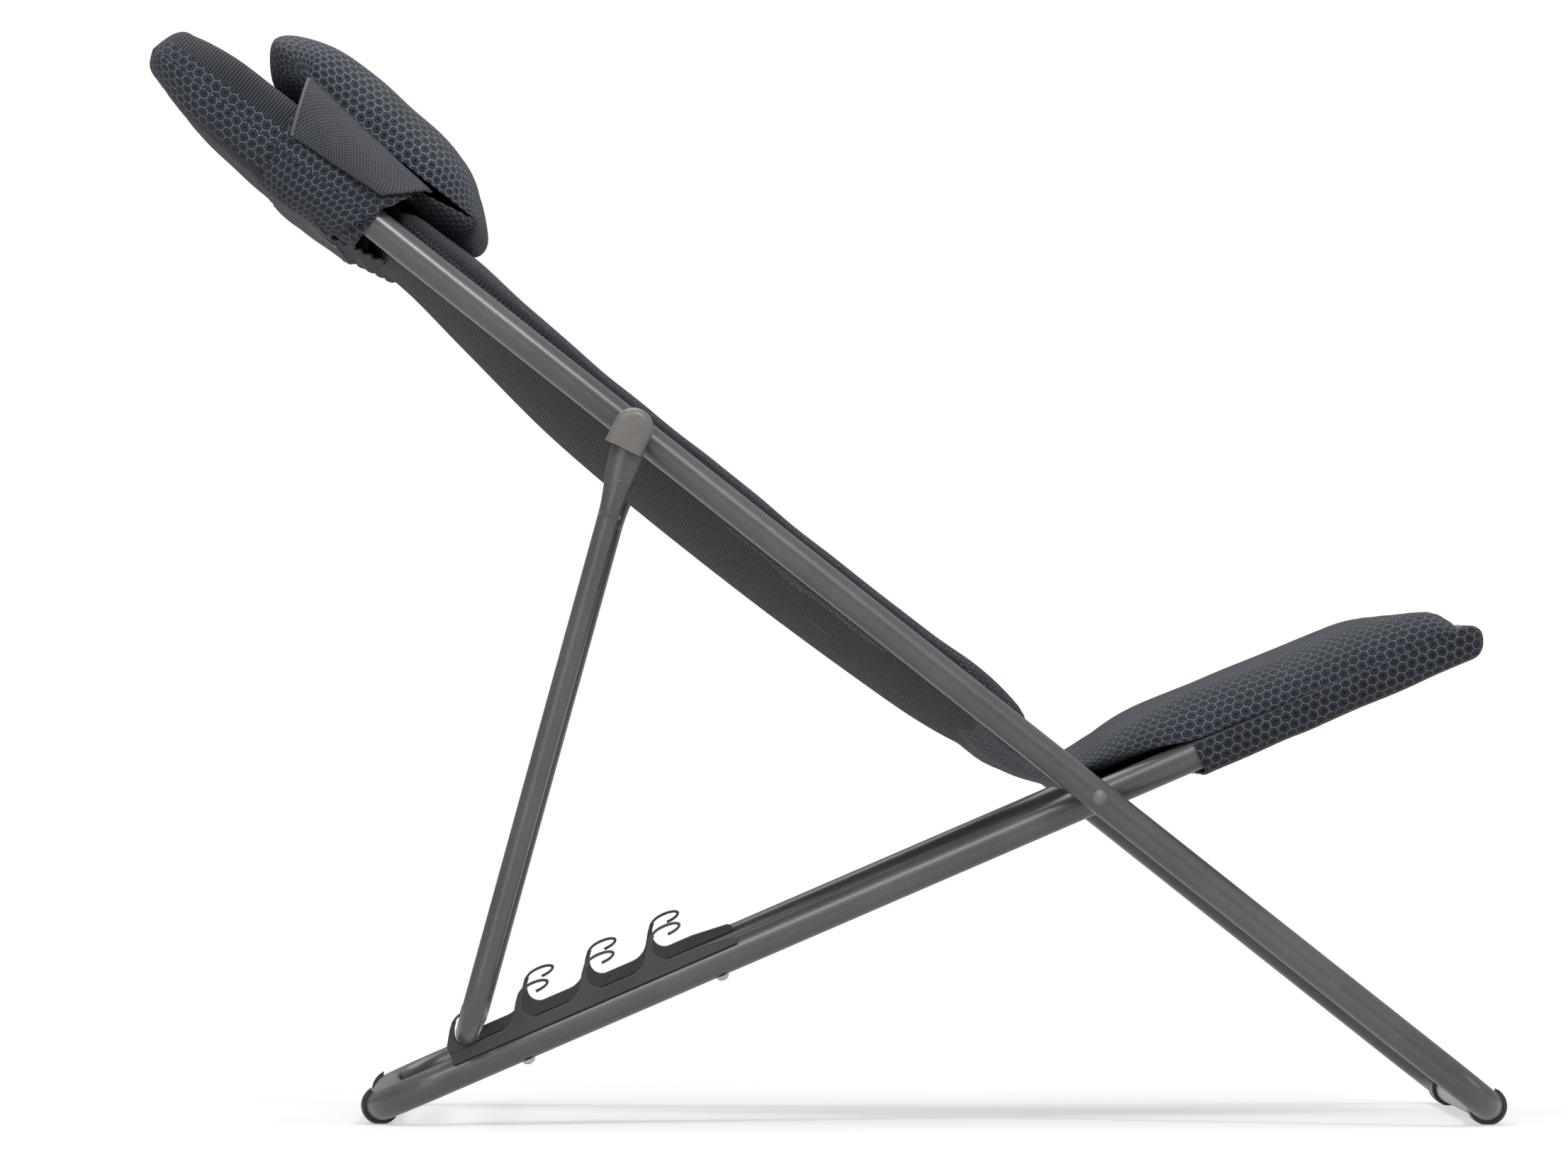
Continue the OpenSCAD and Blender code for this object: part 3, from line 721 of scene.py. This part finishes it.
def makePocket():
    p = pocket
    rings = []
    steps = spread(p["from"], p["nose"] - p["noseReach"], 26)
    steps += [p["nose"] - p["noseReach"] * (1 - math.sin(a)) for a in spread(0.2, math.pi / 2, 7)]
    for along in steps:
        bulge = endShare(along, p["nose"], p["noseReach"])
        left = [(-(p["half"] + x), up) for x, up in reversed(p["side"])]
        right = [(p["half"] + x, up) for x, up in reversed(p["side"])]
        top = [(x, p["side"][0][1]) for x in spread(-p["flatHalf"], p["flatHalf"], 21)]
        under = [(x, p["side"][-1][1]) for x in spread(p["flatHalf"], -p["flatHalf"], 21)]
        loop = left + top + right[::-1] + under
        squeeze = 1 - p["taper"] * (1 - bulge)
        rings.append([onSeat(x * squeeze, along, p["middle"] + (up - p["middle"]) * bulge) for x, up in loop])
    piece = sewRings("seat_pocket_cover", rings, flatPlaces(rings))
    tidyShell(piece)
    subdivide(piece)
    wrinkle(piece, 34, 1.0, 5.2)
    thicken(piece, 2 * mm, -1)
    piece.data.materials.append(finishes["sleeve"])
    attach(piece, "seat_frame")
    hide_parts("seat_pocket")


makePocket()
print("seat pocket done")


# hood: the padded cover pulled over the top of the frame
hood = {
    "top": [(740, 31), (775, 34), (835, 35.5), (879, 36), (918, 35), (947, 30), (961, 22)],
    "bottom": [(740, -26), (782, -29), (821, -31), (870, -29), (918, -25), (947, -18), (961, -11)],
    "from": 742, "straightTo": 950, "to": 968, "noseReach": 16, "half": 304.5, "roll": 26,
    "cornerFrom": 890, "cornerLength": 76, "cornerDepth": 40,
    "sideFrom": 240, "sideLow": -24, "sideHigh": 14,       # where the side is honeycomb and not ribs
}


def makeHood():
    p = hood
    rings = []
    steps = spread(p["from"], p["straightTo"], 30)
    steps += [p["to"] - p["noseReach"] * (1 - math.sin(a)) for a in spread(0.12, math.pi / 2, 7)]
    for along in steps:
        level = min(along, p["straightTo"])
        top, bottom = smoothAt(p["top"], level), smoothAt(p["bottom"], level)
        bulge = endShare(along, p["to"], p["noseReach"])
        bend = max(0.0, (along - p["cornerFrom"]) / p["cornerLength"])
        half = p["half"] - p["cornerDepth"] * (1 - math.sqrt(max(0.0, 1 - bend ** 2)))
        rings.append(padRing(lambda x, up, a=along: onBack(x, a, up), half, p["roll"], top, bottom,
                             0, 0, bulge, 20, 8))
    piece = sewRings("head_hood", rings, flatPlaces(rings))
    tidyShell(piece)
    subdivide(piece)
    wrinkle(piece, 45, 1.4, 8.4)
    thicken(piece, 2.5 * mm, -1)
    piece.data.materials.append(finishes["ribs"])
    piece.data.materials.append(finishes["pad"])
    outward = (onBack(0, 0, 1) - onBack(0, 0, 0)).normalized()
    for polygon in piece.data.polygons:
        rise = (polygon.center - pivot).dot(outward) / mm
        if abs(polygon.center.x) > p["sideFrom"] * mm and p["sideLow"] < rise < p["sideHigh"]:
            polygon.material_index = 1
    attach(piece, "back_frame")
    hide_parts("hood")


makeHood()
print("hood done")


# elastic hem: gathered into ruffles across the back of the hood's mouth
hem = {"from": 720, "to": 763, "half": 258, "low": -19, "high": -28, "ruffle": 1.9, "pitch": 34, "rows": 5}


def makeHem():
    p = hem
    rings = []
    for share in spread(0, 1, 41):
        along = p["from"] + (p["to"] - p["from"]) * share
        base = p["low"] + (p["high"] - p["low"]) * share
        row = abs(math.sin(share * math.pi * p["rows"]))
        ring = []
        for x in spread(-p["half"], p["half"], 90):
            fold = math.sin(2 * math.pi * x / p["pitch"] + 1.6 * noise.noise(Vector((x / 30, 3.3, 0))))
            ring.append(onBack(x, along + 1.2 * fold, base - p["ruffle"] * (0.25 * fold + 1.5 * row) + 1))
        rings.append(ring)
    piece = sewRings("hood_elastic_hem", rings, flatPlaces(rings, False), closed=False)
    tidyShell(piece)
    subdivide(piece)
    thicken(piece, 1.6 * mm)
    piece.data.materials.append(finishes["elastic"])
    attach(piece, "back_frame")
    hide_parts("hood_elastic")


makeHem()
print("elastic hem done")


# headrest pillow
pillow = {
    "outline": [(669, 35.5), (667, 43), (668, 51), (674, 58.5), (694, 71), (728, 83), (772, 88.5),
                (822, 90), (858, 89.5), (891, 82), (905, 74.5), (908, 67), (894, 49), (883, 41),
                (850, 38.5), (780, 37.5), (735, 34), (700, 33.5)],
    "seam": [(676, 53), (720, 48), (773, 48), (821, 51), (860, 60)],
    "seamFrom": 676, "seamTo": 866, "half": 236, "roll": 54, "around": 56,
    "pressure": 3.0, "mostPuff": 6,
}


def makePillow():
    p = pillow
    count = p["around"]
    loop = p["outline"] + [p["outline"][0]]
    lengths = [0.0]
    for a, b in zip(loop, loop[1:]):
        lengths.append(lengths[-1] + math.dist(a, b))
    # one point more at each end, so that the curve is smooth where it closes
    before, after = p["outline"][-1], p["outline"][1]
    wrapLoop = [before] + loop + [after]
    wrapLengths = [-math.dist(before, loop[0])] + lengths + [lengths[-1] + math.dist(loop[0], after)]
    alongTable = list(zip(wrapLengths, [q[0] for q in wrapLoop]))
    upTable = list(zip(wrapLengths, [q[1] for q in wrapLoop]))
    rings = []
    straight = p["half"] - p["roll"]
    rounded = [(straight + p["roll"] * math.sin(a), math.cos(a)) for a in spread(0, math.pi / 2, 13)]
    level = [(x, 1.0) for x in spread(-straight, straight, 22)[1:-1]]
    for x, share in [(-x, share) for x, share in reversed(rounded)] + level + rounded:
        ring = []
        for k in range(count):
            at = lengths[-1] * k / count
            along, up = smoothAt(alongTable, at), smoothAt(upTable, at)
            seamAlong = min(max(along, p["seamFrom"]), p["seamTo"])
            seamUp = smoothAt(p["seam"], seamAlong)
            ring.append(onBack(x, seamAlong + (along - seamAlong) * share ** 0.8,
                               seamUp + (up - seamUp) * share ** 0.85))
        rings.append(ring)
    turned = [[(b, a) for a, b in row] for row in flatPlaces(rings)]
    piece = sewRings("headrest_pillow_pad", rings, turned)
    tidyShell(piece, 0.0004)
    puff(piece, p["pressure"], p["mostPuff"])
    subdivide(piece)
    wrinkle(piece, 50, 1.8, 1.7)
    piece.data.materials.append(finishes["pillow"])
    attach(piece, "headrest")
    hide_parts("headrest_pillow")


makePillow()
print("pillow done")


# headrest band: the sleeve round the hood, with a slanted mouth
band = {
    "from": 747, "slant": 0.40, "to": 840, "half": 309, "top": 38.5, "bottom": -33.5, "roll": 27,
    "fray": 1.6, "hoodTop": 35.5, "hoodBottom": -31,       # the hood's own height that it was drawn on
}


def makeBand():
    p = band
    rings = []
    section = padRing(lambda x, up: Vector((x, up, 0)), p["half"], p["roll"], p["top"], p["bottom"],
                      0, 0, 1, 16, 8)
    for share in spread(0, 1, 14):
        placed = []
        for q in section:
            start = p["from"] - q.y * p["slant"] + p["fray"] * math.sin(q.y * 0.62 + q.x * 0.21)
            end = p["to"] + q.y * 0.2
            along = start + (end - start) * share
            level = min(along, 940)
            if q.y > 0:
                limit = smoothAt(hood["top"], level) / p["hoodTop"]
            else:
                limit = smoothAt(hood["bottom"], level) / p["hoodBottom"]
            close = 1 - 0.012 * max(0, (share - 0.7) / 0.3)
            placed.append(onBack(q.x * close, along, q.y * (0.25 + 0.75 * limit) * close))
        rings.append(placed)
    piece = sewRings("headrest_sleeve", rings, flatPlaces(rings))
    tidyShell(piece)
    subdivide(piece)
    wrinkle(piece, 22, 0.9, 6.6)
    thicken(piece, 1.6 * mm, 0)
    piece.data.materials.append(finishes["pad"])
    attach(piece, "headrest")
    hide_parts("headrest_band")


makeBand()
print("headrest sleeve done")


# wings: a fine mesh gusset at each end of the pillow, down to the sleeve
wing = {
    "topFrom": (857, 61), "topTo": (722, 49.5), "lowFrom": (836, 13.4), "lowTo": (749.5, 20.5),
    "pillowX": 234, "sleeveX": 310.5, "bow": 4, "sag": 2.0, "fray": 1.3, "thickness": 1.2,
}


def wingX(r):
    # how far out the wing is: r runs from the pillow to the sleeve
    reach = wing["sleeveX"] - wing["pillowX"]
    return wing["pillowX"] + reach * r ** 0.34 + wing["bow"] * math.sin(math.pi * r)


def makeWing(side, name):
    p = wing
    rings = []
    for t in spread(0, 1, 22):
        ring = []
        for r in spread(0, 1, 18):
            top = [p["topFrom"][k] + (p["topTo"][k] - p["topFrom"][k]) * t for k in (0, 1)]
            low = [p["lowFrom"][k] + (p["lowTo"][k] - p["lowFrom"][k]) * t for k in (0, 1)]
            along, up = top[0] + (low[0] - top[0]) * r, top[1] + (low[1] - top[1]) * r
            along -= p["fray"] * math.sin(r * 34) * max(0, t - 0.93) / 0.07
            sag = p["sag"] * math.sin(math.pi * r) * math.sin(math.pi * t)
            ring.append(onBack(side * wingX(r), along, up - sag))
        rings.append(ring)
    piece = sewRings(name, rings, flatPlaces(rings, False), closed=False)
    tidyShell(piece)
    subdivide(piece)
    wrinkle(piece, 20, 0.8, 4.4)
    thicken(piece, p["thickness"] * mm)
    piece.data.materials.append(finishes["wing"])
    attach(piece, "headrest")
    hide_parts("headrest_wing_" + ("left" if side > 0 else "right"))


makeWing(1, "wing_left")
makeWing(-1, "wing_right")
print("wings done")


# strap across the back of the sleeve
strap = {"from": 766, "to": 799, "half": 262, "low": -30.6}


def makeStrap():
    p = strap
    rings = []
    for x in spread(-p["half"], p["half"], 80):
        low = p["low"] + 0.4 * math.sin(x / 14)
        rings.append([onBack(x, along, low) for along in spread(p["from"], p["to"], 9)])
    piece = sewRings("headrest_strap_web", rings, flatPlaces(rings, False), closed=False)
    tidyShell(piece)
    thicken(piece, 1.6 * mm)
    piece.data.materials.append(finishes["webbing"])
    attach(piece, "headrest")
    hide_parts("headrest_strap")


makeStrap()
print("strap done")


# slide buckle: a flat two-window frame that the strap is threaded through
buckle = {"middle": (-173, 781), "size": (34, 44), "bar": 4.5, "thick": 2.6, "low": -31.8, "edge": 0.7}


def makeBuckle():
    p = buckle
    bpy.ops.object.select_all(action="DESELECT")
    bpy.ops.mesh.primitive_grid_add(x_subdivisions=2, y_subdivisions=1, size=1)
    piece = bpy.context.object
    piece.name = piece.data.name = "strap_slide_buckle"
    piece.scale = (p["size"][0] * mm, p["size"][1] * mm, 1)
    bpy.ops.object.transform_apply(scale=True)
    bpy.ops.object.mode_set(mode="EDIT")
    bpy.ops.mesh.select_all(action="SELECT")
    bpy.ops.mesh.inset(thickness=p["bar"] * mm, use_individual=True)
    bpy.ops.mesh.delete(type="FACE")
    bpy.ops.object.mode_set(mode="OBJECT")
    thicken(piece, p["thick"] * mm, 0)
    rounded = piece.modifiers.new("rounded", "BEVEL")
    rounded.width = p["edge"] * mm
    rounded.segments = 3
    bpy.ops.object.modifier_apply(modifier="rounded")
    for vertex in piece.data.vertices:
        x, along, up = vertex.co / mm
        vertex.co = onBack(p["middle"][0] + x, p["middle"][1] + along, p["low"] + up)
    tidyShell(piece)
    piece.data.materials.append(finishes["dark"])
    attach(piece, "headrest")
    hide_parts("strap_buckle")


makeBuckle()
print("buckle done")


# hinge caps, and the leg tops that widen into them
propLow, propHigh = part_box("prop_cross_tube")
legRadius = 9 * mm          # of the prop's tube
propBar = Vector((0, propHigh.y - legRadius, propLow.z + legRadius))
down = (propBar - hinge).normalized()
down.x = 0
leanAngle = math.atan2(down.y, -down.z)
capShape = {"turn": 11.5, "radius": 16, "skirt": 18.5, "inner": 308.6, "outer": 330, "edge": 7}
legTop = {"width": 26.5, "depth": 17, "from": 14, "to": 74, "middle": 317, "wideTo": 24, "legWidth": 18.12}


def makeCap(side, name):
    p = capShape
    bpy.ops.object.select_all(action="DESELECT")
    depth = (p["outer"] - p["inner"]) * mm
    tall = (p["radius"] + p["skirt"]) * mm
    bpy.ops.mesh.primitive_cube_add(size=1, location=(0, 0, 0))
    cap = bpy.context.object
    cap.name = name
    cap.scale = (depth, 2 * p["radius"] * mm, tall)
    bpy.ops.object.transform_apply(scale=True)
    bpy.ops.object.mode_set(mode="EDIT")
    bpy.ops.mesh.select_mode(type="EDGE")
    bpy.ops.mesh.select_all(action="DESELECT")
    form = bmesh.from_edit_mesh(cap.data)
    for edge in form.edges:
        a, b = edge.verts
        edge.select = abs(a.co.x - b.co.x) > depth / 2 and a.co.z > 0
    bpy.ops.mesh.bevel(offset=p["radius"] * mm * 0.995, segments=14, affect="EDGES")
    form = bmesh.from_edit_mesh(cap.data)
    bpy.ops.mesh.select_all(action="DESELECT")
    for edge in form.edges:
        a, b = edge.verts
        outside = a.co.x * side > depth * 0.49 and b.co.x * side > depth * 0.49
        edge.select = outside and (a.co.z > -tall * 0.49 or b.co.z > -tall * 0.49)
    bpy.ops.mesh.bevel(offset=p["edge"] * mm, segments=7, affect="EDGES")
    bpy.ops.mesh.select_all(action="SELECT")
    bpy.ops.mesh.normals_make_consistent(inside=False)
    bpy.ops.object.mode_set(mode="OBJECT")
    turn = Matrix.Rotation(leanAngle + math.radians(p["turn"]), 4, "X")
    cap.data.transform(Matrix.Translation((0, 0, (p["radius"] * mm - tall / 2))))
    cap.data.transform(turn)
    middle = (p["inner"] + p["outer"]) / 2 * mm
    cap.data.transform(Matrix.Translation((side * middle, hinge.y, hinge.z)))
    bpy.ops.object.shade_smooth_by_angle(angle=math.radians(40))
    cap.data.materials.append(finishes["cap"])
    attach(cap, "prop")
    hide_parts("prop_cap_" + ("left" if side > 0 else "right"))


def makeLegTop(side, name):
    # the tube is pressed wider and thinner toward the hinge
    p = legTop
    across = Vector((0, down.z, -down.y))
    rings = []
    for along in spread(p["from"], p["to"], 13):
        share = min(1.0, max(0.0, (along - p["wideTo"]) / (p["to"] - 26)))
        ease = share * share * (3 - 2 * share)
        wide = (p["width"] + (p["legWidth"] - p["width"]) * ease) / 2 * mm
        deep = (p["depth"] + (p["legWidth"] - p["depth"]) * ease) / 2 * mm
        ring = []
        for k in range(32):
            a = 2 * math.pi * k / 32
            spot = hinge + down * along * mm + across * wide * math.cos(a)
            ring.append(Vector((side * p["middle"] * mm + deep * math.sin(a), spot.y, spot.z)))
        rings.append(ring)
    top = sewRings(name, rings, flatPlaces(rings))
    tidyShell(top)
    thicken(top, 0.8 * mm, -1)
    top.data.materials.append(finishes["frame"])
    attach(top, "prop")


makeCap(1, "hinge_cap_left")
makeCap(-1, "hinge_cap_right")
makeLegTop(1, "leg_top_left")
makeLegTop(-1, "leg_top_right")
print("hinge caps done")


# thin edge tapes: along the wing's rear edge, and the strap's end round the sleeve's lower corner
def makeTape(name, path, wide, thick, finish):
    rings = []
    for place, swell in [(path[0], 0)] + [(place, 1) for place in path] + [(path[-1], 0)]:
        x, along, up = place
        ring = []
        for k in range(12):
            a = 2 * math.pi * k / 12
            ring.append(onBack(x + swell * thick * math.sin(a), along + swell * wide * math.cos(a), up))
        rings.append(ring)
    tape = sewRings(name, rings, flatPlaces(rings))
    tidyShell(tape)
    tape.data.materials.append(finishes[finish])
    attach(tape, "headrest")


tapes = {
    "wingWide": 1.5, "wingThick": 0.9, "wingProud": 1.2,
    "strapWide": 2.0, "strapThick": 0.8, "strapFrom": (801, -17), "strapRun": (36, 15),
    "sleeveFlat": 281, "sleeveRound": 27.5, "sleeveLow": 33,
}
for side, sideName in ((1, "left"), (-1, "right")):
    (fromAlong, fromUp), (toAlong, toUp) = wing["topFrom"], wing["lowFrom"]
    bound = []
    for r in spread(0.02, 1.0, 26):
        bound.append((side * (wingX(r) + tapes["wingProud"]), fromAlong + (toAlong - fromAlong) * r - 0.6,
                      fromUp + (toUp - fromUp) * r))
    makeTape("wing_binding_" + sideName, bound, tapes["wingWide"], tapes["wingThick"], "binding")
    ends = []
    for r in spread(0, 1, 18):
        along = tapes["strapFrom"][0] - tapes["strapRun"][0] * r ** 1.2
        up = tapes["strapFrom"][1] - tapes["strapRun"][1] * r ** 0.6
        out = tapes["sleeveFlat"] + tapes["sleeveRound"] * math.sqrt(1 - (up / tapes["sleeveLow"]) ** 2)
        ends.append((side * out, along, up))
    makeTape("strap_end_" + sideName, ends, tapes["strapWide"], tapes["strapThick"], "webbing")
print("edge tapes done")

size = {"cad": cadBox, "visual": [list(corner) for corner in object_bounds()]}
